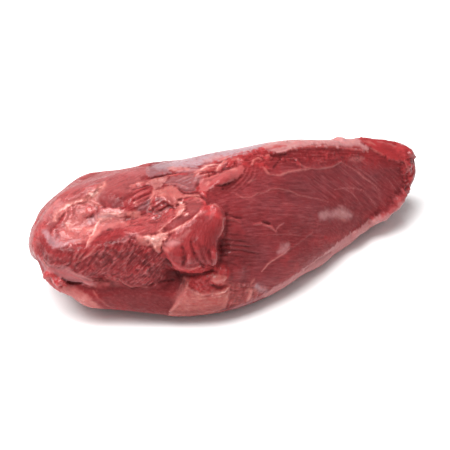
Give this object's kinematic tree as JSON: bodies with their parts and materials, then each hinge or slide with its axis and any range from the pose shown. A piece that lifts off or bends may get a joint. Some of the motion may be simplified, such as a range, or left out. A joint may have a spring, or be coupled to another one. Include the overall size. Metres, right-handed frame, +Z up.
{
  "type": "raw beef chuck tender",
  "caption": "Raw boneless beef shoulder muscle, blunt at one end and tapering to a tip, with a folded flap, a trimmed face and a flat resting side.",
  "frame": {"origin": "on the surface it rests on, under the middle of its bounding box", "axes": "+Z up, +X along the cut from the blunt end to the tip, -Y towards the side with the flap and the trimmed face"},
  "size_m": [0.2754, 0.1188, 0.0815],
  "materials": {
    "raw_beef": "moist raw muscle with pale fat and silverskin"
  },
  "bodies": {
    "root": {"chuck_tender": "raw_beef"}
  },
  "joints": []
}
